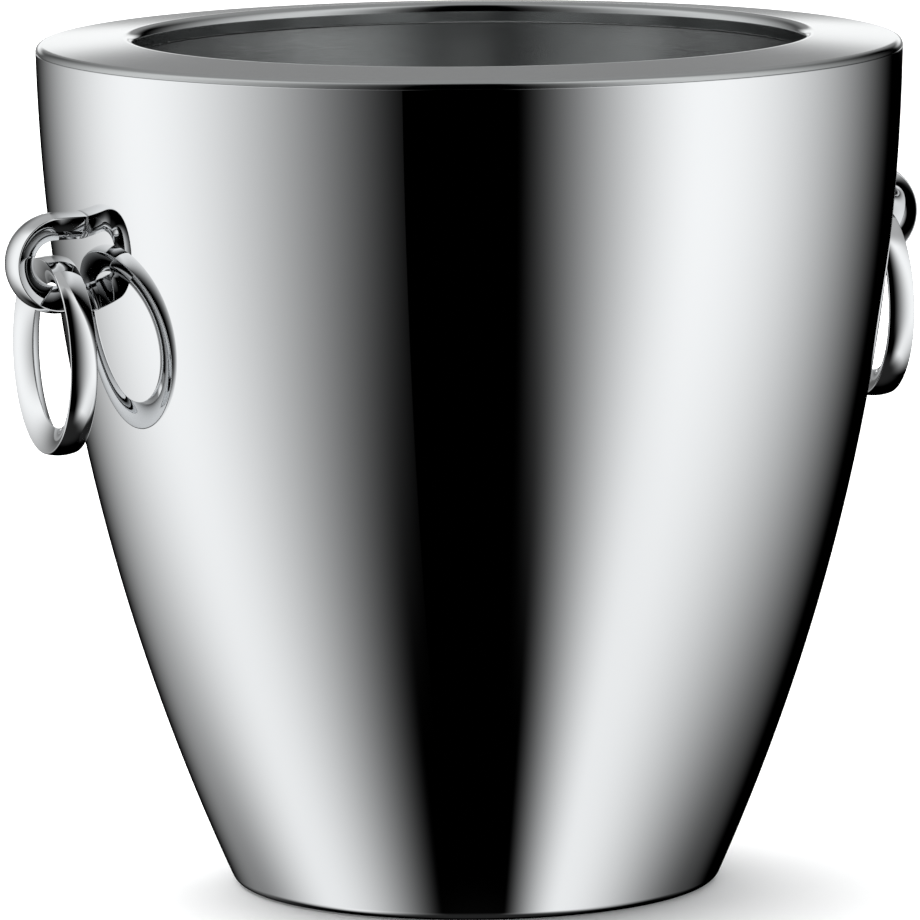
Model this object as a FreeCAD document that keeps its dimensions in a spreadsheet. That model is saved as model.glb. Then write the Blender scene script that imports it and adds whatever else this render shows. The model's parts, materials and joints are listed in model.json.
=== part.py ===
import FreeCAD, Part
import math
import os
import Sketcher

V = FreeCAD.Vector

# Champagne bucket, double walled, with a ring handle hanging from a lug on each side.
# Millimetres. The origin is the middle of the base on the table, +Z is up, handles are on the X axis.

# Driving sizes: alias, value in millimetres or degrees, meaning.
SIZES = [
    ("rim_radius", 115.0, "outer shell, outside, at its top edge"),
    ("base_radius", 64.4, "outer shell, outside, where the wall would meet the table"),
    ("shell_height", 223.8, "table to the top edge of the outer shell"),
    ("wall_bulge", 11.6, "how far the wall's arc stands out from the chord between base and top edge"),
    ("shell_wall", 1.0, "sheet thickness of the outer shell"),
    ("base_corner", 4.0, "outside radius where the wall turns in under the bucket"),
    ("foot_width", 10.0, "width of the turned-in foot that stands on the table"),
    ("rim_width", 26.0, "outer edge of the rim to the opening"),
    ("rim_sheet", 1.2, "sheet thickness of the rim ring"),
    ("rim_shoulder", 2.0, "radius of the rim ring's outer shoulder"),
    ("rim_rise", 1.5, "how much higher the rim stands at the mouth than at its shoulder"),
    ("lip_roll", 2.6, "radius where the rim turns down into the mouth"),
    ("lip_depth", 3.2, "straight part of the lip below its roll"),
    ("skirt_depth", 7.0, "how far the rim ring's skirt reaches down inside the shell"),
    ("seat_gap", 0.1, "clearance between pressed sheets"),
    ("liner_wall", 0.8, "sheet thickness of the liner"),
    ("liner_inset", 14.4, "outer shell to the inside of the liner, where each would meet its floor"),
    ("liner_floor_height", 14.0, "table to the inside of the liner's floor"),
    ("liner_bulge", 8.5, "how far the liner's arc stands out from its chord"),
    ("liner_corner", 8.0, "inside radius between the liner's wall and floor"),
    ("base_sheet", 1.2, "thickness of the base plate"),
    ("rest_inner", 26.0, "inside radius of the ring under the liner"),
    ("rest_width", 12.0, "radial width of the ring under the liner"),
    ("vent_radius", 4.0, "radius of the vent hole in the base plate"),
    ("vent_margin", 1.5, "gap between the vent plug's flange and the inside of the ring above it"),
    ("plug_flange", 2.5, "how far the vent plug's flange covers the plate round its hole"),
    ("plug_flange_height", 0.8, "thickness of the plug's flange, less than the base is recessed"),
    ("plug_barb", 0.6, "how far the plug's barb stands out over the plate"),
    ("plug_reach", 2.4, "how far the plug reaches above the plate"),
    ("lug_drop", 50.8, "top edge of the shell down to the middle of the lugs"),
    ("lug_leg", 8.3, "straight part of a lug's legs, from the wall to the bend"),
    ("lug_width", 9.8, "width of a lug across its sharp outer edges"),
    ("lug_thick", 7.4, "outer face to inner ridge of a lug"),
    ("lug_crown", 1.0, "how far the lug's outer face is crowned"),
    ("lug_cheek", 0.7, "how far each slanting side of a lug bulges"),
    ("ring_radius", 26.2, "outside radius of a ring handle"),
    ("ring_width", 7.3, "width of a ring across its sharp outer edges"),
    ("ring_thick", 7.3, "outer face to inner ridge of a ring"),
    ("ring_crown", 0.6, "how far the ring's outer face is crowned"),
    ("ring_cheek", 0.6, "how far each slanting side of a ring bulges"),
    ("ring_gap", 0.5, "gap between the ring's ridge and the lug's ridge under it"),
    ("ring_play", 4.4, "how much taller the hole in a lug is than the ring in it"),
    ("left_ring_turn", 5.5, "how far the left ring is turned on its lug, seen from above, in degrees"),
    ("right_ring_turn", 9.0, "how far the right ring is turned on its lug, seen from above, in degrees"),
    ("hang_past", 0.5, "how far past the lug's straight legs the hinge line of a ring lies"),
    ("screw_radius", 2.0, "shank radius of the lug screws"),
    ("screw_clearance", 0.2, "radial clearance of the shank in shell, plate and washer"),
    ("screw_bite", 5.0, "how far a screw goes into its lug"),
    ("screw_place", 0.56, "where a screw sits in its leg, from 0 at the inner ridge to 1 at the outer face"),
    ("screw_head_radius", 3.5, "radius of a screw's head"),
    ("screw_head_height", 3.0, "height of a screw's head"),
    ("socket_radius", 1.5, "radius of the socket in a screw's head"),
    ("socket_depth", 1.6, "depth of the socket in a screw's head"),
    ("washer_radius", 4.8, "outside radius of a washer"),
    ("washer_thick", 1.0, "thickness of a washer"),
    ("plate_margin", 2.294, "how far a backing plate reaches above and below the washers"),
    ("plate_wide", 18.0, "width of a backing plate"),
    ("plate_least", 2.2, "thickness of a backing plate at its thinnest"),
]

# Sizes that follow from the ones above: alias, formula.
DERIVED = [
    # The wall is one arc. Its radius and centre follow from its chord and its bulge.
    ("wall_chord", "sqrt((rim_radius - base_radius)^2 + shell_height^2)"),
    ("wall_arc", "wall_chord^2 / (8 * wall_bulge) + wall_bulge / 2"),
    ("wall_arc_x", "(rim_radius + base_radius) / 2 - (wall_arc - wall_bulge) * shell_height / wall_chord"),
    ("wall_arc_z", "shell_height / 2 + (wall_arc - wall_bulge) * (rim_radius - base_radius) / wall_chord"),
    # The corner's centre is one corner radius above the table and inside the wall's arc.
    ("corner_x", "wall_arc_x + sqrt((wall_arc - base_corner)^2 - (wall_arc_z - base_corner)^2)"),
    ("corner_slope", "(wall_arc_z - base_corner) / (corner_x - wall_arc_x)"),
    ("corner_run", "1 / sqrt(1 + corner_slope^2)"),
    ("corner_end_x", "corner_x + base_corner * corner_run"),
    ("corner_end_z", "base_corner - base_corner * corner_run * corner_slope"),
    ("inner_corner", "base_corner - shell_wall"),
    ("inner_end_x", "corner_x + inner_corner * corner_run"),
    ("inner_end_z", "base_corner - inner_corner * corner_run * corner_slope"),
    ("shell_inner_arc", "wall_arc - shell_wall"),
    ("shell_inner_top", "wall_arc_x + sqrt(shell_inner_arc^2 - (shell_height - wall_arc_z)^2)"),
    ("foot_inner", "corner_x - foot_width"),
    ("mouth_radius", "rim_radius - rim_width"),
    # The rim ring: a shoulder, a shallow cone and a lip rolled down into the mouth.
    ("shoulder_x", "rim_radius - rim_shoulder"),
    ("shoulder_z", "shell_height + rim_shoulder"),
    ("roll_x", "mouth_radius + lip_roll"),
    ("rim_top", "shoulder_z + rim_rise"),
    ("roll_z", "rim_top - lip_roll"),
    ("lip_bottom", "roll_z - lip_depth"),
    ("lip_outer", "mouth_radius + rim_sheet"),
    ("lip_under_roll", "lip_roll - rim_sheet"),
    ("rim_under", "rim_top - rim_sheet"),
    ("shoulder_under", "shoulder_z - rim_sheet"),
    ("skirt_bottom", "shell_height - skirt_depth"),
    ("skirt_outer", "wall_arc_x + sqrt(shell_inner_arc^2 - (skirt_bottom - wall_arc_z)^2) - seat_gap"),
    ("skirt_inner", "skirt_outer - rim_sheet"),
    # The liner hangs outside the lip, under the rim, and rests on a ring on the base plate.
    ("liner_top", "roll_z - seat_gap"),
    ("liner_top_inner", "lip_outer + seat_gap"),
    ("liner_floor_radius", "base_radius - liner_inset"),
    # Its top is a straight collar as deep as the lip, so that the lean of its wall stays clear of it.
    ("collar_bottom", "lip_bottom - seat_gap"),
    ("liner_drop", "collar_bottom - liner_floor_height"),
    ("liner_lean", "liner_top_inner - liner_floor_radius"),
    ("liner_chord", "sqrt(liner_lean^2 + liner_drop^2)"),
    ("liner_arc", "liner_chord^2 / (8 * liner_bulge) + liner_bulge / 2"),
    ("liner_mid_x", "(liner_top_inner + liner_floor_radius) / 2"),
    ("liner_arc_x", "liner_mid_x - (liner_arc - liner_bulge) * liner_drop / liner_chord"),
    ("liner_mid_z", "(collar_bottom + liner_floor_height) / 2"),
    ("liner_arc_z", "liner_mid_z + (liner_arc - liner_bulge) * liner_lean / liner_chord"),
    ("liner_turn_z", "liner_floor_height + liner_corner"),
    ("liner_turn_x", "liner_arc_x + sqrt((liner_arc - liner_corner)^2 - (liner_arc_z - liner_turn_z)^2)"),
    ("liner_slope", "(liner_arc_z - liner_turn_z) / (liner_turn_x - liner_arc_x)"),
    ("liner_run", "1 / sqrt(1 + liner_slope^2)"),
    ("liner_end_x", "liner_turn_x + liner_corner * liner_run"),
    ("liner_end_z", "liner_turn_z - liner_corner * liner_run * liner_slope"),
    ("liner_out_corner", "liner_corner + liner_wall"),
    ("liner_out_end_x", "liner_turn_x + liner_out_corner * liner_run"),
    ("liner_out_end_z", "liner_turn_z - liner_out_corner * liner_run * liner_slope"),
    ("liner_out_arc", "liner_arc + liner_wall"),
    ("collar_outer", "liner_arc_x + sqrt(liner_out_arc^2 - (collar_bottom - liner_arc_z)^2)"),
    ("liner_underside", "liner_floor_height - liner_wall"),
    # The base plate lies on the shell's turned-in foot, inside its corner.
    ("plate_bottom", "shell_wall"),
    ("plate_top", "shell_wall + base_sheet"),
    ("plate_radius", "corner_x - seat_gap"),
    ("rest_outer", "rest_inner + rest_width"),
    ("plug_radius", "vent_radius - seat_gap / 2"),
    ("plug_cover", "vent_radius + plug_flange"),
    ("vent_offset", "rest_inner - vent_margin - plug_cover"),
    ("plug_bottom", "plate_bottom - plug_flange_height"),
    ("plug_barb_radius", "vent_radius + plug_barb"),
    ("plug_top", "plate_top + plug_reach"),
    # The lugs and rings. The hole in a lug is as tall as the ring in it, and some play.
    ("lug_height", "shell_height - lug_drop"),
    ("lug_tall", "2 * lug_thick + ring_thick + ring_play"),
    ("wall_at_lug", "wall_arc_x + sqrt(wall_arc^2 - (lug_height - wall_arc_z)^2)"),
    ("lug_bend", "lug_tall / 2"),
    ("lug_bend_x", "wall_at_lug + lug_leg"),
    ("lug_standout", "lug_leg + lug_bend"),
    ("lug_edge", "lug_bend - lug_crown"),
    ("lug_ridge", "lug_bend - lug_thick"),
    ("lug_root", "wall_at_lug - lug_bend"),
    ("lug_half", "lug_width / 2"),
    ("lug_crown_arc", "lug_width^2 / (8 * lug_crown) + lug_crown / 2"),
    ("lug_side", "sqrt(lug_half^2 + (lug_edge - lug_ridge)^2)"),
    ("lug_side_arc", "lug_side^2 / (8 * lug_cheek) + lug_cheek / 2"),
    ("lug_low", "lug_height - lug_tall"),
    ("lug_high", "lug_height + lug_tall"),
    ("wall_low", "wall_arc_x + sqrt(wall_arc^2 - (lug_low - wall_arc_z)^2)"),
    ("wall_high", "wall_arc_x + sqrt(wall_arc^2 - (lug_high - wall_arc_z)^2)"),
    ("inside_low", "wall_arc_x + sqrt(shell_inner_arc^2 - (lug_low - wall_arc_z)^2)"),
    ("inside_high", "wall_arc_x + sqrt(shell_inner_arc^2 - (lug_high - wall_arc_z)^2)"),
    ("ring_half", "ring_width / 2"),
    ("ring_crown_arc", "ring_width^2 / (8 * ring_crown) + ring_crown / 2"),
    ("ring_side", "sqrt(ring_half^2 + (ring_edge - ring_ridge)^2)"),
    ("ring_side_arc", "ring_side^2 / (8 * ring_cheek) + ring_cheek / 2"),
    ("ring_edge", "ring_radius - ring_crown"),
    ("ring_ridge", "ring_radius - ring_thick"),
    ("hang_x", "lug_bend_x + hang_past"),
    # The hinge line is the middle of the circle round the ring's section, so the ring turns freely.
    ("ring_axis_drop", "(ring_half^2 + (ring_edge - ring_ridge)^2) / (2 * (ring_edge - ring_ridge))"),
    ("hang_z", "lug_height - lug_ridge + ring_gap + ring_axis_drop"),
    ("ring_centre_z", "hang_z - ring_axis_drop - ring_ridge"),
    # The screws sit in the middle of each leg of a lug.
    ("screw_pitch", "lug_ridge + lug_thick * screw_place"),
    ("plate_tall", "2 * (screw_pitch + washer_radius + plate_margin)"),
    ("plate_low", "lug_height - plate_tall / 2"),
    ("plate_high", "lug_height + plate_tall / 2"),
    ("plate_far", "wall_arc_x + sqrt(shell_inner_arc^2 - (plate_low - wall_arc_z)^2)"),
    ("plate_face", "sqrt(plate_far^2 - (plate_wide / 2)^2) - plate_least"),
    ("washer_face", "plate_face - washer_thick"),
    ("head_face", "washer_face - screw_head_height"),
    ("screw_end", "wall_at_lug + screw_bite"),
    ("screw_hole", "screw_radius + screw_clearance"),
    ("thread_radius", "screw_radius + seat_gap / 2"),
    ("thread_end", "screw_end + seat_gap"),
]

SHEET = "Sizes"
# A cut that takes away less than this, in cubic millimetres, has missed its piece.
LEAST_CUT = 1.0
# Two points closer than this are the same point.
SAME_POINT = 1e-6

doc = FreeCAD.newDocument("champagne_bucket")
sheet = doc.addObject("Spreadsheet::Sheet", SHEET)
for row, (alias, value, meaning) in enumerate(SIZES, start=1):
    sheet.set(f"A{row}", meaning)
    sheet.set(f"B{row}", str(value))
    sheet.setAlias(f"B{row}", alias)
for row, (alias, formula) in enumerate(DERIVED, start=1):
    sheet.set(f"C{row}", alias)
    sheet.set(f"D{row}", "=0")
    sheet.setAlias(f"D{row}", alias)
for row, (alias, formula) in enumerate(DERIVED, start=1):
    sheet.set(f"D{row}", "=" + formula)
doc.recompute()

NAMES = sorted((alias for alias, *rest in SIZES + DERIVED), key=len, reverse=True)


def bound(formula):
    """The formula with each alias written as a reference to the sheet."""
    words = []
    word = ""
    for letter in formula + " ":
        if letter.isalnum() or letter == "_":
            word += letter
            continue
        words.append(f"{SHEET}.{word}" if word in NAMES else word)
        words.append(letter)
        word = ""
    return "".join(words).strip()


def size(formula):
    """The formula's value now."""
    return float(sheet.evalExpression(bound(formula)))


def new_body(label):
    body = doc.addObject("PartDesign::Body", label)
    body.Label = label
    return body


def origin_feature(body, role):
    return next(f for f in body.Origin.OriginFeatures if f.Role == role)


def new_sketch(body, name, role, offset=None):
    """A sketch on one of the body's own planes, moved along the plane's normal by offset."""
    sketch = body.newObject("Sketcher::SketchObject", name)
    sketch.AttachmentSupport = [(origin_feature(body, role), "")]
    sketch.MapMode = "FlatFace"
    if offset:
        sketch.setExpression(".AttachmentOffset.Base.z", bound(offset))
    doc.recompute()
    return sketch


def fix(sketch, kind, formula, *where):
    """A dimension of the sketch that follows the sheet."""
    index = sketch.addConstraint(Sketcher.Constraint(kind, *where, size(formula)))
    name = f"{kind.lower()}_{index}"
    sketch.renameConstraint(index, name)
    sketch.setExpression(f"Constraints.{name}", bound(formula))


def outline(sketch, corners):
    """A closed outline. Each corner is (x, y, arc): arc is None for a straight run to the next
    corner, or (radius, side) for an arc to it, which bulges to the right of the run for side 1."""
    points = [V(size(x), size(y), 0) for x, y, arc in corners]
    edges = []
    for number, (x, y, arc) in enumerate(corners):
        start = points[number]
        end = points[(number + 1) % len(points)]
        if arc is None:
            edges.append(sketch.addGeometry(Part.LineSegment(start, end)))
            continue
        radius, side = arc
        run = end - start
        half = run.Length / 2
        sag = size(radius) - math.sqrt(max(size(radius) ** 2 - half**2, 0))
        right = V(run.y, -run.x, 0).normalize()
        middle = (start + end) / 2 + right * sag * side
        edges.append(sketch.addGeometry(Part.Arc(start, middle, end)))
    # An arc made through three points may run backwards, so its first end is looked up.
    first = []
    for number, edge in enumerate(edges):
        start = sketch.getPoint(edge, 1)
        first.append(1 if start.distanceToPoint(points[number]) < SAME_POINT else 2)
    for number, edge in enumerate(edges):
        after = (number + 1) % len(edges)
        sketch.addConstraint(
            Sketcher.Constraint("Coincident", edge, 3 - first[number], edges[after], first[after])
        )
    for number, (x, y, arc) in enumerate(corners):
        fix(sketch, "DistanceX", x, -1, 1, edges[number], first[number])
        fix(sketch, "DistanceY", y, -1, 1, edges[number], first[number])
        if arc is not None:
            fix(sketch, "Radius", arc[0], edges[number])


def turned(label, corners):
    """A body turned about Z from an outline of radius and height."""
    body = new_body(label)
    sketch = new_sketch(body, label + "_profile", "XZ_Plane")
    outline(sketch, corners)
    turn = body.newObject("PartDesign::Revolution", label + "_turn")
    turn.Profile = sketch
    turn.ReferenceAxis = (sketch, ["V_Axis"])
    turn.Angle = 360
    sketch.Visibility = False
    doc.recompute()
    return body


def round_hole(body, name, role, centre, radius, near, far):
    """Cuts a round hole along the plane's normal, from offset near to offset far."""
    sketch = new_sketch(body, name + "_profile", role, near)
    circle = sketch.addGeometry(Part.Circle(V(size(centre[0]), size(centre[1]), 0), V(0, 0, 1), size(radius)))
    fix(sketch, "DistanceX", centre[0], -1, 1, circle, 3)
    fix(sketch, "DistanceY", centre[1], -1, 1, circle, 3)
    fix(sketch, "Radius", radius, circle)
    before = body.Shape.Volume
    pocket = body.newObject("PartDesign::Pocket", name)
    pocket.Profile = sketch
    pocket.Reversed = True
    pocket.setExpression("Length", bound(f"({far}) - ({near})"))
    doc.recompute()
    if body.Shape.Volume > before - LEAST_CUT:
        raise RuntimeError(f"{name} cuts nothing")
    return pocket


def outer_shell():
    return turned(
        "outer_shell",
        [
            ("foot_inner", "0", None),
            ("corner_x", "0", ("base_corner", 1)),
            ("corner_end_x", "corner_end_z", ("wall_arc", 1)),
            ("rim_radius", "shell_height", None),
            ("shell_inner_top", "shell_height", ("shell_inner_arc", -1)),
            ("inner_end_x", "inner_end_z", ("inner_corner", -1)),
            ("corner_x", "shell_wall", None),
            ("foot_inner", "shell_wall", None),
        ],
    )


def rim_ring():
    return turned(
        "rim_ring",
        [
            ("skirt_inner", "skirt_bottom", None),
            ("skirt_outer", "skirt_bottom", None),
            ("skirt_outer", "shell_height", None),
            ("rim_radius", "shell_height", ("rim_shoulder", 1)),
            ("shoulder_x", "shoulder_z", None),
            ("roll_x", "rim_top", ("lip_roll", 1)),
            ("mouth_radius", "roll_z", None),
            ("mouth_radius", "lip_bottom", None),
            ("lip_outer", "lip_bottom", None),
            ("lip_outer", "roll_z", ("lip_under_roll", -1)),
            ("roll_x", "rim_under", None),
            ("skirt_inner", "shoulder_under", None),
        ],
    )


def inner_liner():
    return turned(
        "inner_liner",
        [
            ("0", "liner_underside", None),
            ("liner_turn_x", "liner_underside", ("liner_out_corner", 1)),
            ("liner_out_end_x", "liner_out_end_z", ("liner_out_arc", 1)),
            ("collar_outer", "collar_bottom", None),
            ("collar_outer", "liner_top", None),
            ("liner_top_inner", "liner_top", None),
            ("liner_top_inner", "collar_bottom", ("liner_arc", -1)),
            ("liner_end_x", "liner_end_z", ("liner_corner", -1)),
            ("liner_turn_x", "liner_floor_height", None),
            ("0", "liner_floor_height", None),
        ],
    )


def base_plate():
    body = turned(
        "base_plate",
        [
            ("0", "plate_bottom", None),
            ("plate_radius", "plate_bottom", None),
            ("plate_radius", "plate_top", None),
            ("0", "plate_top", None),
        ],
    )
    below = "plate_bottom - base_sheet"
    above = "plate_top + base_sheet"
    round_hole(body, "vent_hole", "XY_Plane", ("vent_offset", "0"), "vent_radius", below, above)
    return body


def liner_rest():
    return turned(
        "liner_rest",
        [
            ("rest_inner", "plate_top", None),
            ("rest_outer", "plate_top", None),
            ("rest_outer", "liner_underside", None),
            ("rest_inner", "liner_underside", None),
        ],
    )


def vent_plug():
    """Snaps into the vent hole: a flange below the plate and a barb above it."""
    body = turned(
        "vent_plug",
        [
            ("0", "plug_bottom", None),
            ("plug_cover", "plug_bottom", None),
            ("plug_cover", "plate_bottom", None),
            ("plug_radius", "plate_bottom", None),
            ("plug_radius", "plate_top", None),
            ("plug_barb_radius", "plate_top", None),
            ("plug_radius", "plug_top", None),
            ("0", "plug_top", None),
        ],
    )
    body.setExpression("Placement.Base.x", bound("vent_offset"))
    return body


def side_section(sketch, half, ridge, edge, side_arc, crown_arc, way):
    """A three-sided section: a crowned outer face and two bulging sides that meet in a ridge.
    way is 1 for a section above the sketch's origin and -1 for one below it."""
    sign = "" if way > 0 else "-"
    back = "-" if way > 0 else ""
    outline(
        sketch,
        [
            ("0", f"{sign}{ridge}", (side_arc, 1)),
            (f"{sign}{half}", f"{sign}{edge}", (crown_arc, 1)),
            (f"{back}{half}", f"{sign}{edge}", (side_arc, 1)),
        ],
    )


def turn_half_round(body):
    """Puts a body that was made on the +X side on the -X side."""
    body.Placement = FreeCAD.Placement(V(0, 0, 0), FreeCAD.Rotation(V(0, 0, 1), 180))


def wall_band(body, name, low_x, high_x, arc, keep_outside):
    """Trims a body along one face of the shell's wall, and keeps what is outside or inside it."""
    sketch = new_sketch(body, name + "_profile", "XZ_Plane")
    limit = "0" if keep_outside else "rim_radius + lug_tall"
    if keep_outside:
        corners = [
            (limit, "lug_low", None),
            (low_x, "lug_low", (arc, 1)),
            (high_x, "lug_high", None),
            (limit, "lug_high", None),
        ]
    else:
        corners = [
            (low_x, "lug_low", None),
            (limit, "lug_low", None),
            (limit, "lug_high", None),
            (high_x, "lug_high", (arc, -1)),
        ]
    outline(sketch, corners)
    before = body.Shape.Volume
    groove = body.newObject("PartDesign::Groove", name)
    groove.Profile = sketch
    groove.ReferenceAxis = (sketch, ["V_Axis"])
    groove.Angle = 360
    doc.recompute()
    if body.Shape.Volume > before - LEAST_CUT:
        raise RuntimeError(f"{name} cuts nothing")


def lug(side):
    """Two straight legs on the wall, joined by a half turn, screwed on from inside the shell."""
    label = f"{side}_lug"
    body = new_body(label)
    for leg, way in (("upper", 1), ("lower", -1)):
        sketch = new_sketch(body, f"{label}_{leg}_section", "YZ_Plane", "lug_bend_x")
        sketch.setExpression(".AttachmentOffset.Base.y", bound("lug_height"))
        side_section(sketch, "lug_half", "lug_ridge", "lug_edge", "lug_side_arc", "lug_crown_arc", way)
        if way > 0:
            bend = body.newObject("PartDesign::Revolution", f"{label}_bend")
            bend.Profile = sketch
            bend.ReferenceAxis = (sketch, ["H_Axis"])
            bend.Angle = 180
        pad = body.newObject("PartDesign::Pad", f"{label}_{leg}_leg")
        pad.Profile = sketch
        pad.Reversed = True
        pad.setExpression("Length", bound("lug_bend_x - lug_root"))
        doc.recompute()
    wall_band(body, f"{label}_seat", "wall_low", "wall_high", "wall_arc", True)
    for leg, sign in (("upper", "+"), ("lower", "-")):
        centre = ("0", f"lug_height {sign} screw_pitch")
        round_hole(body, f"{label}_{leg}_thread", "YZ_Plane", centre, "thread_radius", "lug_root", "thread_end")
    if side == "left":
        turn_half_round(body)
    return body


def backing_plate(side):
    """A saddle that spreads a lug's load over the inside of the shell."""
    label = f"{side}_backing_plate"
    body = new_body(label)
    sketch = new_sketch(body, f"{label}_outline", "YZ_Plane", "plate_face")
    outline(
        sketch,
        [
            ("-plate_wide / 2", "plate_low", None),
            ("plate_wide / 2", "plate_low", None),
            ("plate_wide / 2", "plate_high", None),
            ("-plate_wide / 2", "plate_high", None),
        ],
    )
    pad = body.newObject("PartDesign::Pad", f"{label}_block")
    pad.Profile = sketch
    pad.setExpression("Length", bound("wall_at_lug - plate_face + lug_standout"))
    doc.recompute()
    wall_band(body, f"{label}_saddle", "inside_low", "inside_high", "shell_inner_arc", False)
    for leg, sign in (("upper", "+"), ("lower", "-")):
        centre = ("0", f"lug_height {sign} screw_pitch")
        round_hole(body, f"{label}_{leg}_hole", "YZ_Plane", centre, "screw_hole", "head_face", "screw_end")
    if side == "left":
        turn_half_round(body)
    return body


def along_x(name, kind, radius, start, end, height):
    """A Part cylinder or hexagonal prism along +X, from start to end."""
    item = doc.addObject(kind, name)
    item.setExpression("Circumradius" if kind == "Part::Prism" else "Radius", bound(radius))
    item.setExpression("Height", bound(f"({end}) - ({start})"))
    item.Placement = FreeCAD.Placement(V(0, 0, 0), FreeCAD.Rotation(V(0, 1, 0), 90))
    item.setExpression("Placement.Base.x", bound(start))
    item.setExpression("Placement.Base.z", bound(height))
    return item


def joined(kind, name, base, tool):
    item = doc.addObject(kind, name)
    item.Base = base
    item.Tool = tool
    return item


def screw(name, height):
    shank = along_x(f"{name}_shank", "Part::Cylinder", "screw_radius", "washer_face", "screw_end", height)
    head = along_x(f"{name}_head", "Part::Cylinder", "screw_head_radius", "head_face", "washer_face", height)
    socket = along_x(
        f"{name}_socket", "Part::Prism", "socket_radius", "head_face", "head_face + socket_depth", height
    )
    whole = joined("Part::Fuse", f"{name}_whole", head, shank)
    return joined("Part::Cut", name, whole, socket)


def washer(name, height):
    disc = along_x(f"{name}_disc", "Part::Cylinder", "washer_radius", "washer_face", "plate_face", height)
    hole = along_x(f"{name}_hole", "Part::Cylinder", "screw_hole", "head_face", "screw_end", height)
    return joined("Part::Cut", name, disc, hole)


def pair(side, label, maker):
    """One fastener for each leg of a lug, as one node of two solids."""
    group = doc.addObject("Part::Compound", f"{side}_{label}")
    group.Label = f"{side}_{label}"
    group.Links = [
        maker(f"{side}_{label}_upper", "lug_height + screw_pitch"),
        maker(f"{side}_{label}_lower", "lug_height - screw_pitch"),
    ]
    if side == "left":
        turn_half_round(group)
    return group


def ring(side):
    """A ring handle, made round its own middle and then hung in its lug."""
    label = f"{side}_ring"
    body = new_body(label)
    sketch = new_sketch(body, f"{label}_section", "XZ_Plane")
    side_section(sketch, "ring_half", "ring_ridge", "ring_edge", "ring_side_arc", "ring_crown_arc", 1)
    turn = body.newObject("PartDesign::Revolution", f"{label}_turn")
    turn.Profile = sketch
    turn.ReferenceAxis = (sketch, ["H_Axis"])
    turn.Angle = 360
    sign = "-" if side == "left" else ""
    body.Placement = FreeCAD.Placement(V(0, 0, 0), FreeCAD.Rotation(V(0, 0, 1), 1))
    body.setExpression("Placement.Base.x", bound(f"{sign}hang_x"))
    body.setExpression("Placement.Base.z", bound("ring_centre_z"))
    body.setExpression("Placement.Rotation.Angle", bound(f"-{side}_ring_turn"))
    doc.recompute()
    return body


def lug_holes_in_shell(body):
    """Clearance holes for the lug screws, on both sides."""
    for leg, sign in (("upper", "+"), ("lower", "-")):
        centre = ("0", f"lug_height {sign} screw_pitch")
        round_hole(body, f"right_{leg}_hole", "YZ_Plane", centre, "screw_hole", "head_face", "screw_end")
        round_hole(body, f"left_{leg}_hole", "YZ_Plane", centre, "screw_hole", "-screw_end", "-head_face")


def build():
    shell = outer_shell()
    lug_holes_in_shell(shell)
    pieces = [shell, rim_ring(), inner_liner(), base_plate(), liner_rest(), vent_plug()]
    for side in ("left", "right"):
        pieces.append(lug(side))
        pieces.append(ring(side))
        pieces.append(backing_plate(side))
        pieces.append(pair(side, "lug_screws", screw))
        pieces.append(pair(side, "lug_washers", washer))
    doc.recompute()
    return pieces


def check(pieces):
    for item in doc.Objects:
        if any(word in item.State for word in ("Invalid", "Error")):
            raise RuntimeError(f"{item.Label} failed: {item.State}")
    for piece in pieces:
        if piece.Shape.isNull() or not piece.Shape.isValid():
            raise RuntimeError(f"{piece.Label} has no valid shape")
        if not piece.Shape.Solids or piece.Shape.Volume <= 0:
            raise RuntimeError(f"{piece.Label} has no volume")


def export(pieces):
    os.makedirs("parts", exist_ok=True)
    for piece in pieces:
        piece.Shape.exportStep(f"parts/{piece.Label}.step")
        box = piece.Shape.BoundBox
        volume = piece.Shape.Volume / 1000
        print(f"{piece.Label}: {box.XLength:.1f} x {box.YLength:.1f} x {box.ZLength:.1f} mm, {volume:.2f} cm3")


pieces = build()
check(pieces)
export(pieces)
print(f"ring hinges at x {size('hang_x'):.3f} and z {size('hang_z'):.3f}")
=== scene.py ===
import json
import math

import bmesh
import bpy
from mathutils import Matrix, Vector


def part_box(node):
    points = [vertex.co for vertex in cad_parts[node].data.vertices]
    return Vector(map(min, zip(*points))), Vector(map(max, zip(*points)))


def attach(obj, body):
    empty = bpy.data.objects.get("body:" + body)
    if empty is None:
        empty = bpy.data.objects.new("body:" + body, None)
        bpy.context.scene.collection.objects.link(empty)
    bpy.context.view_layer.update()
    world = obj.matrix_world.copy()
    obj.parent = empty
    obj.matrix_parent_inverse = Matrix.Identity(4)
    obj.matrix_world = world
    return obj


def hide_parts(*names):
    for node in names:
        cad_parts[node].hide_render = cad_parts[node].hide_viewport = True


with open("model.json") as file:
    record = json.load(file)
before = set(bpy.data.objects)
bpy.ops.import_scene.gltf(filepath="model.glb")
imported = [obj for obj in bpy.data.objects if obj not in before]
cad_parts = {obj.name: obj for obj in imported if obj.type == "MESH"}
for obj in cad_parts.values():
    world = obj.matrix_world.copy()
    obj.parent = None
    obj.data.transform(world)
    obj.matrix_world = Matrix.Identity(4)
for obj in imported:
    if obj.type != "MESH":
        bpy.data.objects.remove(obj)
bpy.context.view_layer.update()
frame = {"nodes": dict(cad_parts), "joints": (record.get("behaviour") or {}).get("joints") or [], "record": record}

MM = 0.001

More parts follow.
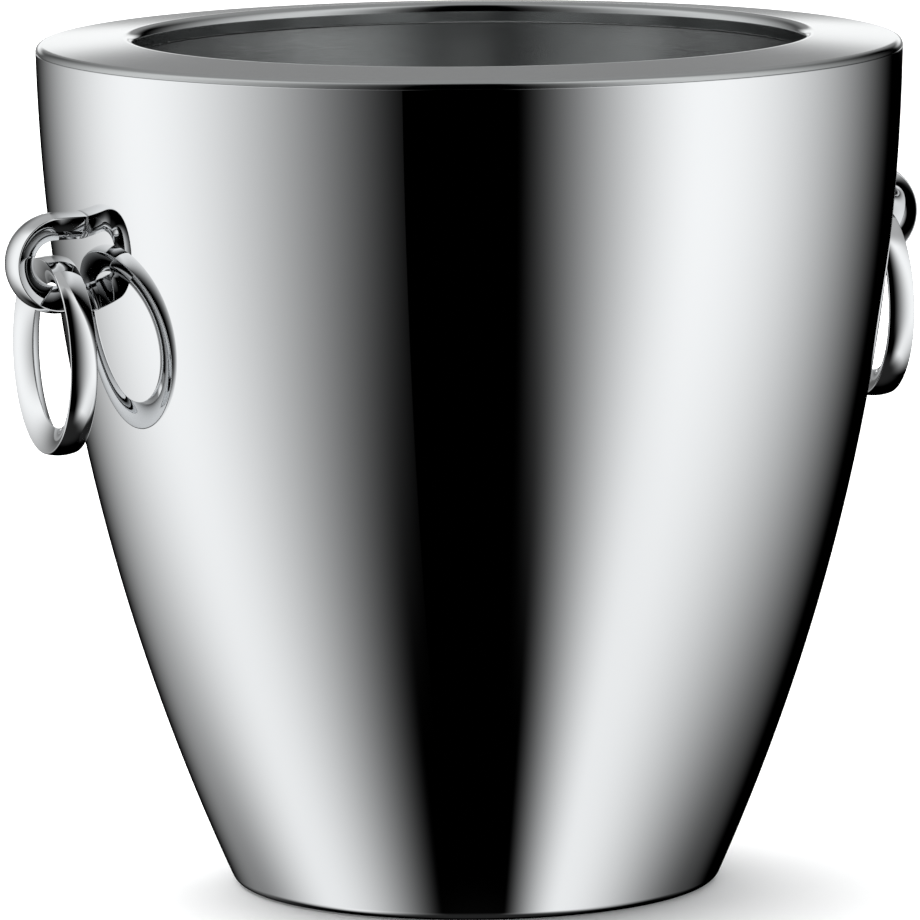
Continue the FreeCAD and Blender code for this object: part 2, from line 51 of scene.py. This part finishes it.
# Sizes that the frame's boxes don't give, in metres. They are the ones the CAD model was drawn with.
BASE_RADIUS = 64.4 * MM
WALL_BULGE = 11.6 * MM
SHELL_WALL = 1.0 * MM
BASE_CORNER = 4.0 * MM
FOOT_WIDTH = 10.0 * MM
MOUTH_RADIUS = 89.0 * MM
RIM_SHEET = 1.2 * MM
RIM_SHOULDER = 2.0 * MM
RIM_RISE = 1.5 * MM
LIP_ROLL = 2.6 * MM
LIP_DEPTH = 3.2 * MM
LINER_WALL = 0.8 * MM
LINER_FLOOR_RADIUS = 50.0 * MM
LINER_BULGE = 8.5 * MM
LINER_CORNER = 8.0 * MM
SEAT_GAP = 0.1 * MM
LUG_WIDTH = 9.8 * MM
LUG_THICK = 7.4 * MM
LUG_CROWN = 1.0 * MM
LUG_CHEEK = 0.7 * MM
RING_WIDTH = 7.3 * MM
RING_THICK = 7.3 * MM
RING_CROWN = 0.6 * MM
RING_CHEEK = 0.6 * MM
EDGE_ROUND = 0.3 * MM
SEAM_ROUND = 0.35 * MM

# Places and sizes read from the frame.
SHELL_LOW, SHELL_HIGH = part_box("outer_shell")
RIM_LOW, RIM_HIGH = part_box("rim_ring")
LINER_LOW, LINER_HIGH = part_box("inner_liner")
RIM_RADIUS = SHELL_HIGH[0]
SHELL_HEIGHT = SHELL_HIGH[2]
RIM_TOP = RIM_HIGH[2]
SKIRT_BOTTOM = RIM_LOW[2]
LINER_TOP = LINER_HIGH[2]
LINER_FLOOR = LINER_LOW[2] + LINER_WALL

# Where the camera stands, in metres and degrees. Azimuth 0 looks along +Y.
CAMERA_AZIMUTH = -25.5
CAMERA_DISTANCE = 2.411
CAMERA_HEIGHT = 0.4552
CAMERA_PITCH = 8.08
CAMERA_ROLL = 0.50
CAMERA_YAW = -0.08
CAMERA_LENS = 356.9
CAMERA_SENSOR = 36.0
CAMERA_REACH = 50.0

TURN_STEPS = 360
RING_STEPS = 240
BEND_STEPS = 64
ON_AXIS = 1e-7


class Arc:
    """The circle through two points of a profile that stands out from their chord by bulge."""

    def __init__(self, x0, z0, x1, z1, bulge):
        chord = math.hypot(x1 - x0, z1 - z0)
        self.radius = chord**2 / (8 * bulge) + bulge / 2
        reach = self.radius - bulge
        self.x = (x0 + x1) / 2 - reach * (z1 - z0) / chord
        self.z = (z0 + z1) / 2 + reach * (x1 - x0) / chord

    def at(self, z, inset=0.0):
        """The profile's radius at height z, or that of the surface inset inside it."""
        return self.x + math.sqrt((self.radius - inset) ** 2 - (z - self.z) ** 2)


WALL = Arc(BASE_RADIUS, 0.0, RIM_RADIUS, SHELL_HEIGHT, WALL_BULGE)


def eased(count):
    """Values from 0 to 1 that crowd at both ends, so that shading stays clean next to an edge."""
    return [(1 - math.cos(math.pi * step / count)) / 2 for step in range(count + 1)]


def bow(centre, radius, start, end, count):
    """Points on an arc in a profile, from angle start to angle end in degrees."""
    points = []
    for step in range(count + 1):
        angle = math.radians(start + (end - start) * step / count)
        points.append((centre[0] + radius * math.cos(angle), centre[1] + radius * math.sin(angle)))
    return points


def run(start, end, count=6):
    """Points on a straight stretch, without its ends."""
    return [
        (start[0] + (end[0] - start[0]) * share, start[1] + (end[1] - start[1]) * share)
        for share in eased(count)[1:-1]
    ]


def angle_from(centre, point):
    return math.degrees(math.atan2(point[1] - centre[1], point[0] - centre[0]))


def new_object(name, vertices, faces, nodes, body):
    """A smooth piece that stands for the CAD nodes and rides on their body."""
    mesh = bpy.data.meshes.new(name)
    mesh.from_pydata(vertices, [], faces)
    mesh.validate()
    mesh.shade_smooth()
    piece = bpy.data.objects.new(name, mesh)
    bpy.context.scene.collection.objects.link(piece)
    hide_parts(*nodes)
    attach(piece, body)
    return piece


def lathe(name, outline, node):
    """Turns a closed outline of (radius, height) points about Z. Points on the axis become one."""
    vertices = []
    rings = []
    for radius, height in outline:
        if radius < ON_AXIS:
            rings.append([len(vertices)])
            vertices.append((0.0, 0.0, height))
            continue
        first = len(vertices)
        for step in range(TURN_STEPS):
            angle = 2 * math.pi * step / TURN_STEPS
            vertices.append((radius * math.cos(angle), radius * math.sin(angle), height))
        rings.append(list(range(first, first + TURN_STEPS)))
    closed = len(rings[0]) > 1
    faces = []
    pairs = list(zip(rings, rings[1:]))
    if closed:
        pairs.append((rings[-1], rings[0]))
    for lower, upper in pairs:
        for step in range(TURN_STEPS):
            after = (step + 1) % TURN_STEPS
            if len(lower) == 1:
                faces.append((lower[0], upper[after], upper[step]))
            elif len(upper) == 1:
                faces.append((lower[step], lower[after], upper[0]))
            else:
                faces.append((lower[step], lower[after], upper[after], upper[step]))
    return new_object(name, vertices, faces, [node], "bucket")


def outer_shell():
    inner_corner = BASE_CORNER - SHELL_WALL
    corner = (WALL.x + math.sqrt((WALL.radius - BASE_CORNER) ** 2 - (WALL.z - BASE_CORNER) ** 2), BASE_CORNER)
    turn_end = angle_from((WALL.x, WALL.z), corner)
    foot = corner[0] - FOOT_WIDTH
    outline = [(foot, 0.0)]
    outline += run((foot, 0.0), (corner[0], 0.0))
    outline += bow(corner, BASE_CORNER, -90, turn_end, 16)
    seam = (WALL.at(SHELL_HEIGHT - SEAM_ROUND) - SEAM_ROUND, SHELL_HEIGHT - SEAM_ROUND)
    end_angle = angle_from((WALL.x, WALL.z), (WALL.at(seam[1]), seam[1]))
    wall_rows = 96
    for share in eased(wall_rows)[1:]:
        angle = math.radians(turn_end + (end_angle - turn_end) * share)
        outline.append((WALL.x + WALL.radius * math.cos(angle), WALL.z + WALL.radius * math.sin(angle)))
    outline += bow(seam, SEAM_ROUND, 0, 90, 5)[1:]
    inner_radius = WALL.radius - SHELL_WALL
    inner_rows = 32
    top_angle = math.degrees(math.asin((SHELL_HEIGHT - WALL.z) / inner_radius))
    for step in range(inner_rows + 1):
        angle = math.radians(top_angle + (turn_end - top_angle) * step / inner_rows)
        outline.append((WALL.x + inner_radius * math.cos(angle), WALL.z + inner_radius * math.sin(angle)))
    outline += bow(corner, inner_corner, turn_end, -90, 8)[1:]
    outline.append((foot, SHELL_WALL))
    return lathe("shell_skin", outline, "outer_shell")


def rim_ring():
    skirt_outer = WALL.at(SKIRT_BOTTOM, SHELL_WALL) - SEAT_GAP
    skirt_inner = skirt_outer - RIM_SHEET
    shoulder = (RIM_RADIUS - RIM_SHOULDER, SHELL_HEIGHT)
    roll = (MOUTH_RADIUS + LIP_ROLL, RIM_TOP - LIP_ROLL)
    lip_bottom = roll[1] - LIP_DEPTH
    cone_drop = RIM_TOP - (SHELL_HEIGHT + RIM_SHOULDER)
    cone_tilt = math.degrees(math.atan2(cone_drop, shoulder[0] - roll[0]))
    outline = [(skirt_inner, SKIRT_BOTTOM), (skirt_outer, SKIRT_BOTTOM), (skirt_outer, SHELL_HEIGHT)]
    turned_under = SEAM_ROUND / 2
    under = (RIM_RADIUS - turned_under, SHELL_HEIGHT + turned_under)
    outline += bow(under, turned_under, -90, 0, 4)[:-1]
    outline += bow(shoulder, RIM_SHOULDER, 6, 90 - cone_tilt, 14)
    outline += run(outline[-1], (roll[0], RIM_TOP), 10)
    outline += bow(roll, LIP_ROLL, 90, 180, 14)
    outline += run((MOUTH_RADIUS, roll[1]), (MOUTH_RADIUS, lip_bottom))
    bead = RIM_SHEET / 2
    outline += bow((MOUTH_RADIUS + bead, lip_bottom + bead), bead, 180, 360, 8)
    outline += bow(roll, LIP_ROLL - RIM_SHEET, 180, 90, 6)
    outline += run(outline[-1], (skirt_inner, SHELL_HEIGHT + RIM_SHOULDER - RIM_SHEET), 4)
    outline.append((skirt_inner, SHELL_HEIGHT + RIM_SHOULDER - RIM_SHEET))
    return lathe("rim_top", outline, "rim_ring")


def inner_liner():
    top_inner = MOUTH_RADIUS + RIM_SHEET + SEAT_GAP
    collar = RIM_TOP - LIP_ROLL - LIP_DEPTH - SEAT_GAP
    side = Arc(LINER_FLOOR_RADIUS, LINER_FLOOR, top_inner, collar, LINER_BULGE)
    turn_height = LINER_FLOOR + LINER_CORNER
    across = math.sqrt((side.radius - LINER_CORNER) ** 2 - (side.z - turn_height) ** 2)
    turn = (side.x + across, turn_height)
    turn_end = angle_from((side.x, side.z), turn)
    top_end = angle_from((side.x, side.z), (top_inner, collar))
    outer_radius = side.radius + LINER_WALL
    outer_end = math.degrees(math.asin((collar - side.z) / outer_radius))
    outline = [(0.0, LINER_FLOOR - LINER_WALL)]
    outline += run((0.0, LINER_FLOOR - LINER_WALL), (turn[0], LINER_FLOOR - LINER_WALL))
    outline += bow(turn, LINER_CORNER + LINER_WALL, -90, turn_end, 8)
    outline += bow((side.x, side.z), outer_radius, turn_end, outer_end, 32)[1:]
    outline += [(outline[-1][0], LINER_TOP), (top_inner, LINER_TOP)]
    outline += bow((side.x, side.z), side.radius, top_end, turn_end, 64)
    outline += bow(turn, LINER_CORNER, turn_end, -90, 12)[1:]
    outline += run((turn[0], LINER_FLOOR), (0.0, LINER_FLOOR), 16)
    outline.append((0.0, LINER_FLOOR))
    return lathe("liner_inside", outline, "inner_liner")


def three_sided(half, ridge, edge, crown, cheek):
    """A section with a crowned outer face and two bulging sides that meet in a ridge, all its edges
    rounded. Points are (across, out), anticlockwise."""
    corners = [Vector((0.0, ridge)), Vector((half, edge)), Vector((-half, edge))]
    bulges = [cheek, crown, cheek]
    circles = []
    for number, bulge in enumerate(bulges):
        start = corners[number]
        end = corners[(number + 1) % 3]
        chord = end - start
        radius = chord.length**2 / (8 * bulge) + bulge / 2
        inward = Vector((-chord.y, chord.x)).normalized()
        circles.append(((start + end) / 2 + inward * (radius - bulge), radius))
    # Each corner's rounding has its centre where the two faces, both moved in by its radius, meet.
    knots = []
    for number, corner in enumerate(corners):
        before, radius_before = circles[number - 1]
        after, radius_after = circles[number]
        first = radius_before - EDGE_ROUND
        second = radius_after - EDGE_ROUND
        between = after - before
        along = (first**2 - second**2 + between.length_squared) / (2 * between.length)
        aside = math.sqrt(max(first**2 - along**2, 0.0))
        foot = before + between.normalized() * along
        normal = Vector((-between.y, between.x)).normalized()
        choices = [foot + normal * aside, foot - normal * aside]
        knots.append(min(choices, key=lambda point: (point - corner).length))
    points = []
    for number in range(3):
        centre, radius = circles[number]
        start = angle_from(centre, knots[number])
        end = angle_from(centre, knots[(number + 1) % 3])
        end = start + (end - start) % 360
        for share in eased(14):
            angle = math.radians(start + (end - start) * share)
            points.append((centre.x + radius * math.cos(angle), centre.y + radius * math.sin(angle)))
        knot = knots[(number + 1) % 3]
        next_start = angle_from(circles[(number + 1) % 3][0], knot)
        next_start = end + (next_start - end) % 360
        points += bow(knot, EDGE_ROUND, end, next_start, 5)[1:-1]
    return points


def tube_faces(stations, around, closed):
    """Quads between neighbouring stations of a tube, whose points lie one station after another."""
    faces = []
    for station in range(stations if closed else stations - 1):
        here = station * around
        there = ((station + 1) % stations) * around
        for number in range(around):
            after = (number + 1) % around
            faces.append((here + number, here + after, there + after, there + number))
    return faces


def lug(side, way):
    """The arched eye: two straight legs from the wall and a half turn between them."""
    low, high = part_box(f"{side}_lug")
    middle = (low[2] + high[2]) / 2
    bend = (high[2] - low[2]) / 2
    reach = max(abs(low[0]), abs(high[0]))
    bend_x = reach - bend
    section = three_sided(LUG_WIDTH / 2, bend - LUG_THICK, bend - LUG_CROWN, LUG_CROWN, LUG_CHEEK)
    leg_shares = (1.0, 0.85, 0.6, 0.3, 0.1)
    stations = [(90.0, share) for share in leg_shares]
    stations += [(90.0 - 180.0 * step / BEND_STEPS, 0.0) for step in range(BEND_STEPS + 1)]
    stations += [(-90.0, share) for share in reversed(leg_shares)]
    sunk = SHELL_WALL / 2
    vertices = []
    for degrees, share in stations:
        angle = math.radians(degrees)
        for across, out in section:
            x = bend_x + out * math.cos(angle)
            z = middle + out * math.sin(angle)
            root = math.sqrt((WALL.at(z) - sunk) ** 2 - across**2)
            x += (root - x) * share
            vertices.append((x * way, across * way, z))
    faces = tube_faces(len(stations), len(section), False)
    faces.append(tuple(range(len(section))))
    last = (len(stations) - 1) * len(section)
    faces.append(tuple(reversed(range(last, last + len(section)))))
    return new_object(f"{side}_eye", vertices, faces, [f"{side}_lug"], "bucket")


def ring(side):
    """A ring handle, turned on its lug as the CAD ring is."""
    joint = next(j for j in frame["joints"] if j["name"] == f"{side}_ring_swing")
    low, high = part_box(f"{side}_ring")
    centre = (Vector(low) + Vector(high)) / 2
    outer = (high[2] - low[2]) / 2
    section = three_sided(RING_WIDTH / 2, outer - RING_THICK, outer - RING_CROWN, RING_CROWN, RING_CHEEK)
    along = Vector(joint["axis"]).normalized()
    up = Vector((0, 0, 1))
    normal = along.cross(up)
    vertices = []
    for step in range(RING_STEPS):
        angle = 2 * math.pi * step / RING_STEPS
        outwards = along * math.cos(angle) + up * math.sin(angle)
        for across, out in section:
            vertices.append(centre + outwards * out + normal * across)
    faces = tube_faces(RING_STEPS, len(section), True)
    return new_object(f"{side}_ring_handle", vertices, faces, [f"{side}_ring"], f"{side}_handle")


def mend_normals(piece):
    """Turns every face outwards."""
    mesh = bmesh.new()
    mesh.from_mesh(piece.data)
    bmesh.ops.recalc_face_normals(mesh, faces=mesh.faces)
    mesh.to_mesh(piece.data)
    mesh.free()
    piece.data.shade_smooth()


# How far a belt line is stretched round the axis: a smaller value makes longer lines.
LINE_SQUEEZE = 0.004


class Shader:
    """A material whose nodes are added one at a time."""

    def __init__(self, name, color, metallic, roughness):
        self.material = bpy.data.materials.new(name)
        self.material.use_nodes = True
        self.nodes = self.material.node_tree.nodes
        self.links = self.material.node_tree.links
        self.surface = self.nodes["Principled BSDF"]
        self.surface.inputs["Base Color"].default_value = (*color, 1.0)
        self.surface.inputs["Metallic"].default_value = metallic
        self.surface.inputs["Roughness"].default_value = roughness
        self.place = self.nodes.new("ShaderNodeTexCoord").outputs["Object"]

    def add(self, kind, **inputs):
        node = self.nodes.new(kind)
        for name, value in inputs.items():
            self.put(node, name.replace("_", " "), value)
        return node

    def put(self, node, name, value):
        if isinstance(value, bpy.types.NodeSocket):
            self.links.new(value, node.inputs[name])
        else:
            node.inputs[name].default_value = value

    def math(self, operation, first, second=0.0):
        node = self.nodes.new("ShaderNodeMath")
        node.operation = operation
        self.put(node, 0, first)
        self.put(node, 1, second)
        return node.outputs[0]

    def noise(self, scale, detail=4.0, stretch=None, place=None):
        place = self.place if place is None else place
        if stretch:
            place = self.add("ShaderNodeMapping", Vector=place, Scale=stretch).outputs[0]
        return self.add("ShaderNodeTexNoise", Vector=place, Scale=scale, Detail=detail).outputs["Fac"]

    def around(self):
        """Coordinates (radius, squeezed angle, height), for marks that run round the axis."""
        parts = self.add("ShaderNodeSeparateXYZ", Vector=self.place)
        x, y, z = parts.outputs
        radius = self.math("SQRT", self.math("ADD", self.math("MULTIPLY", x, x), self.math("MULTIPLY", y, y)))
        angle = self.math("ARCTAN2", y, x)
        angle = self.math("MULTIPLY", angle, LINE_SQUEEZE)
        return self.add("ShaderNodeCombineXYZ", X=radius, Y=angle, Z=z).outputs[0]

    def spread(self, value, low, high, start=0.0, end=1.0):
        node = self.nodes.new("ShaderNodeMapRange")
        self.put(node, "Value", value)
        self.put(node, "From Min", start)
        self.put(node, "From Max", end)
        self.put(node, "To Min", low)
        self.put(node, "To Max", high)
        return node.outputs[0]

    def tint(self, value, dark, light):
        node = self.nodes.new("ShaderNodeMix")
        node.data_type = "RGBA"
        self.links.new(value, node.inputs[0])
        node.inputs[6].default_value = (*dark, 1.0)
        node.inputs[7].default_value = (*light, 1.0)
        self.links.new(node.outputs[2], self.surface.inputs["Base Color"])

    def rough(self, value):
        self.links.new(value, self.surface.inputs["Roughness"])

    def bump(self, value, strength, depth):
        node = self.add("ShaderNodeBump", Height=value, Strength=strength, Distance=depth)
        self.links.new(node.outputs[0], self.surface.inputs["Normal"])


def mirror_steel(name, haze):
    """Buffed to a mirror: faint haze from the wheel, hairline rubs and a trace of spinning."""
    shader = Shader(name, (0.80, 0.81, 0.82), 1.0, haze)
    wipes = shader.noise(26.0, 5.0, (1.0, 1.0, 0.35))
    hairs = shader.noise(900.0, 2.0, (1.0, 1.0, 0.04))
    marks = shader.math("ADD", shader.math("MULTIPLY", wipes, 0.7), shader.math("MULTIPLY", hairs, 0.3))
    shader.rough(shader.spread(marks, haze * 0.6, haze * 1.5, 0.3, 0.7))
    shader.tint(wipes, (0.79, 0.80, 0.81), (0.815, 0.82, 0.825))
    ripple = shader.noise(40.0, 2.0, (0.3, 0.3, 1.0))
    shader.bump(ripple, 0.02, 0.0001)
    return shader.material


def turned_steel(name, dark, light, roughness, line_scale, line_strength):
    """Satin steel with fine lines round the axis, left by the abrasive belt."""
    shader = Shader(name, light, 1.0, roughness)
    shader.surface.inputs["Anisotropic"].default_value = 0.55
    shader.surface.inputs["Anisotropic Rotation"].default_value = 0.25
    tangent = shader.nodes.new("ShaderNodeTangent")
    tangent.direction_type = "RADIAL"
    tangent.axis = "Z"
    shader.links.new(tangent.outputs[0], shader.surface.inputs["Tangent"])
    lines = shader.noise(line_scale, 3.0, None, shader.around())
    clouds = shader.noise(34.0, 4.0)
    marks = shader.math("ADD", shader.math("MULTIPLY", lines, 0.6), shader.math("MULTIPLY", clouds, 0.4))
    shader.rough(shader.spread(marks, roughness * 0.8, roughness * 1.25, 0.3, 0.7))
    shader.tint(marks, dark, light)
    shader.bump(lines, line_strength, 0.00005)
    return shader.material


def plated_hardware(name):
    """Zinc plating: pale spangle with a hint of blue and straw."""
    shader = Shader(name, (0.70, 0.71, 0.72), 1.0, 0.35)
    spangle = shader.add("ShaderNodeTexVoronoi", Vector=shader.place, Scale=1400.0).outputs["Distance"]
    cast = shader.noise(320.0, 3.0)
    shader.tint(cast, (0.62, 0.66, 0.70), (0.76, 0.73, 0.66))
    shader.rough(shader.spread(spangle, 0.28, 0.45))
    shader.bump(spangle, 0.1, 0.00005)
    return shader.material


def moulded(name, dark, light, roughness, grain_scale, grain_strength):
    """Moulded plastic or rubber: a fine grain, slightly cloudy colour and dull rubs."""
    shader = Shader(name, light, 0.0, roughness)
    grain = shader.noise(grain_scale, 3.0)
    clouds = shader.noise(60.0, 3.0)
    shader.tint(clouds, dark, light)
    shader.rough(shader.spread(grain, roughness - 0.1, roughness + 0.12, 0.3, 0.7))
    shader.bump(grain, grain_strength, 0.00008)
    return shader.material


def make_materials():
    return {
        "mirror_steel": mirror_steel("mirror_steel", 0.02),
        "ring_steel": mirror_steel("ring_steel", 0.025),
        "satin_rim": turned_steel(
            "satin_rim", (0.45, 0.46, 0.46), (0.51, 0.52, 0.52), 0.09, 9000.0, 0.03
        ),
        "liner_steel": turned_steel(
            "liner_steel", (0.52, 0.53, 0.53), (0.57, 0.58, 0.58), 0.22, 5000.0, 0.03
        ),
        "base_steel": turned_steel(
            "base_steel", (0.55, 0.56, 0.56), (0.66, 0.67, 0.67), 0.32, 4000.0, 0.15
        ),
        "plated_hardware": plated_hardware("plated_hardware"),
        "rest_plastic": moulded("rest_plastic", (0.70, 0.70, 0.67), (0.80, 0.80, 0.78), 0.55, 1500.0, 0.2),
        "plug_rubber": moulded("plug_rubber", (0.02, 0.02, 0.02), (0.05, 0.05, 0.05), 0.7, 2200.0, 0.3),
    }


def dress(piece, material):
    piece.data.materials.clear()
    piece.data.materials.append(material)


FLOOR_SIZE = 14.0
OVERHEAD_BOX_SIZE = 8.0
OVERHEAD_BOX_PLACE = (0, 2.0, 5.0)
OVERHEAD_BOX_POWER = 760.0


def floor():
    """The pale table. Polished steel doesn't mirror it, as on a lit glass table."""
    mesh = bpy.data.meshes.new("floor")
    half = FLOOR_SIZE / 2
    corners = [(-half, -half, 0), (half, -half, 0), (half, half, 0), (-half, half, 0)]
    mesh.from_pydata(corners, [], [(0, 1, 2, 3)])
    table = bpy.data.objects.new("floor", mesh)
    bpy.context.scene.collection.objects.link(table)
    table.visible_glossy = False
    shader = Shader("pale_floor", (0.93, 0.93, 0.93), 0.0, 0.8)
    dress(table, shader.material)


def floor_light():
    """A broad soft box overhead, for the table alone."""
    lamp = bpy.data.lights.new("overhead", "AREA")
    lamp.shape = "DISK"
    lamp.size = OVERHEAD_BOX_SIZE
    lamp.energy = OVERHEAD_BOX_POWER
    box = bpy.data.objects.new("overhead", lamp)
    box.location = OVERHEAD_BOX_PLACE
    box.visible_glossy = False
    bpy.context.scene.collection.objects.link(box)


# The studio's two soft boxes, level with the rim and down by the foot. Each is a start, a brightest
# place, an end and a brightness. Places are bearings, in degrees to the right of the camera.
LEFT_BOX = (-13, -99, -172, 1.12)
RIGHT_BOX = (12, 65, 153, 1.13)
LEFT_BOX_LOW = (-22, -90, -140, 1.0)
RIGHT_BOX_LOW = (18, 54, 133, 1.02)
BLACK_CARD = (-17.5, 12.5)
OVERHEAD = 0.48
BACKDROP = 0.33
UNDERNEATH = 0.02
HORIZON_GLOW = 1.2

# Where one light fades into the next, first and last, as elevations in degrees.
LOW_BOXES_FADE = (-12, -48)
UNDERNEATH_FADE = (-80, -56)
BACKDROP_FOOT = (-6, -3.5)
GLOW_FOOT = (0.5, 3.5)
GLOW_TOP = (10, 6)
# The same for the backdrop's sides, as bearings either way from the camera.
BACKDROP_SIDES = (155, 172)
# The ceiling leans back: its edge is where height plus this share of the way back passes the fade.
CEILING_LEAN = 0.55
CEILING_FADE = (0.78, 1.05)


class World:
    """The world's shader, whose nodes are added one at a time."""

    def __init__(self):
        self.world = bpy.data.worlds.new("studio")
        self.world.use_nodes = True
        self.nodes = self.world.node_tree.nodes
        self.links = self.world.node_tree.links

    def put(self, socket, value):
        if isinstance(value, bpy.types.NodeSocket):
            self.links.new(value, socket)
        else:
            socket.default_value = value

    def calc(self, operation, *values):
        node = self.nodes.new("ShaderNodeMath")
        node.operation = operation
        for socket, value in zip(node.inputs, values):
            self.put(socket, value)
        return node.outputs[0]

    def rise(self, value, start, end):
        """0 at start and before it, 1 at end and past it, smooth in between."""
        node = self.nodes.new("ShaderNodeMapRange")
        node.interpolation_type = "SMOOTHSTEP"
        self.put(node.inputs["Value"], value)
        node.inputs["From Min"].default_value = min(start, end)
        node.inputs["From Max"].default_value = max(start, end)
        node.inputs["To Min"].default_value = 0.0 if start < end else 1.0
        node.inputs["To Max"].default_value = 1.0 if start < end else 0.0
        return node.outputs[0]

    def climb(self, height, start, end):
        """The same between two elevations in degrees, where height is the sine of the elevation."""
        return self.rise(height, sine(start), sine(end))

    def mix(self, share, first, second):
        node = self.nodes.new("ShaderNodeMix")
        self.put(node.inputs[0], share)
        self.put(node.inputs[2], first)
        self.put(node.inputs[3], second)
        return node.outputs[0]

    def soft_box(self, bearing, start, brightest, end, level):
        """A light that grows from start to its brightest place, and fades out towards its end."""
        near = self.rise(bearing, math.radians(start), math.radians(brightest))
        far = self.rise(bearing, math.radians(end), math.radians(brightest))
        return self.calc("MULTIPLY", self.calc("MULTIPLY", near, far), level)

    def two_boxes(self, bearing, left, right):
        return self.calc("ADD", self.soft_box(bearing, *left), self.soft_box(bearing, *right))

    def outside(self, bearing, first, last):
        before = self.calc("LESS_THAN", bearing, math.radians(first))
        after = self.calc("GREATER_THAN", bearing, math.radians(last))
        return self.calc("ADD", before, after)


def sine(degrees):
    return math.sin(math.radians(degrees))


def studio_light():
    """A light tent: a soft box at each side, a black card in front, a grey backdrop and ceiling, and
    a bright band just above the foot of the backdrop."""
    tent = World()
    bpy.context.scene.world = tent.world
    direction = tent.nodes.new("ShaderNodeTexCoord").outputs["Generated"]
    turn = tent.nodes.new("ShaderNodeVectorRotate")
    turn.rotation_type = "Z_AXIS"
    tent.put(turn.inputs["Vector"], direction)
    turn.inputs["Angle"].default_value = math.radians(-CAMERA_AZIMUTH)
    parts = tent.nodes.new("ShaderNodeSeparateXYZ")
    tent.put(parts.inputs[0], turn.outputs[0])
    x, y, z = parts.outputs
    bearing = tent.calc("ARCTAN2", x, tent.calc("MULTIPLY", y, -1.0))
    level = tent.two_boxes(bearing, LEFT_BOX, RIGHT_BOX)
    level = tent.calc("MULTIPLY", level, tent.outside(bearing, *BLACK_CARD))
    low = tent.two_boxes(bearing, LEFT_BOX_LOW, RIGHT_BOX_LOW)
    level = tent.mix(tent.climb(z, *LOW_BOXES_FADE), level, low)
    level = tent.mix(tent.climb(z, *UNDERNEATH_FADE), UNDERNEATH, level)
    first_side, last_side = BACKDROP_SIDES
    aside = tent.calc("ABSOLUTE", bearing)
    behind = tent.rise(aside, math.radians(first_side), math.radians(last_side))
    backdrop = tent.calc("MULTIPLY", behind, tent.climb(z, *BACKDROP_FOOT))
    level = tent.mix(backdrop, level, BACKDROP)
    glow = tent.calc("MULTIPLY", tent.climb(z, *GLOW_FOOT), tent.climb(z, *GLOW_TOP))
    level = tent.mix(tent.calc("MULTIPLY", glow, behind), level, HORIZON_GLOW)
    leant = tent.calc("ADD", z, tent.calc("MULTIPLY", y, CEILING_LEAN))
    ceiling = tent.rise(leant, *CEILING_FADE)
    level = tent.mix(ceiling, level, OVERHEAD)
    background = tent.nodes["Background"]
    tent.put(background.inputs["Strength"], level)
    background.inputs["Color"].default_value = (0.985, 0.995, 1.0, 1.0)


def camera():
    data = bpy.data.cameras.new("camera")
    data.sensor_width = CAMERA_SENSOR
    data.lens = CAMERA_LENS
    data.clip_end = CAMERA_REACH
    data.dof.use_dof = False
    eye = bpy.data.objects.new("camera", data)
    bpy.context.scene.collection.objects.link(eye)
    bpy.context.scene.camera = eye
    turn = Matrix.Rotation(math.radians(CAMERA_AZIMUTH), 4, "Z")
    place = Matrix.Translation((0, -CAMERA_DISTANCE, CAMERA_HEIGHT))
    yaw = Matrix.Rotation(math.radians(-CAMERA_YAW), 4, "Z")
    tilt = Matrix.Rotation(math.radians(90 - CAMERA_PITCH), 4, "X")
    roll = Matrix.Rotation(math.radians(-CAMERA_ROLL), 4, "Z")
    eye.matrix_world = turn @ place @ yaw @ tilt @ roll


camera()
materials = make_materials()
slot_of = {entry["node"]: entry["material_slot"] for entry in frame["record"]["subparts"]}
for node, piece in frame["nodes"].items():
    dress(piece, materials[slot_of[node]])

turned_pieces = {
    "outer_shell": outer_shell(),
    "rim_ring": rim_ring(),
    "inner_liner": inner_liner(),
    "left_lug": lug("left", -1),
    "right_lug": lug("right", 1),
    "left_ring": ring("left"),
    "right_ring": ring("right"),
}
for node, piece in turned_pieces.items():
    mend_normals(piece)
    dress(piece, materials[slot_of[node]])

floor()
floor_light()
studio_light()
bpy.context.scene.view_settings.view_transform = "Standard"
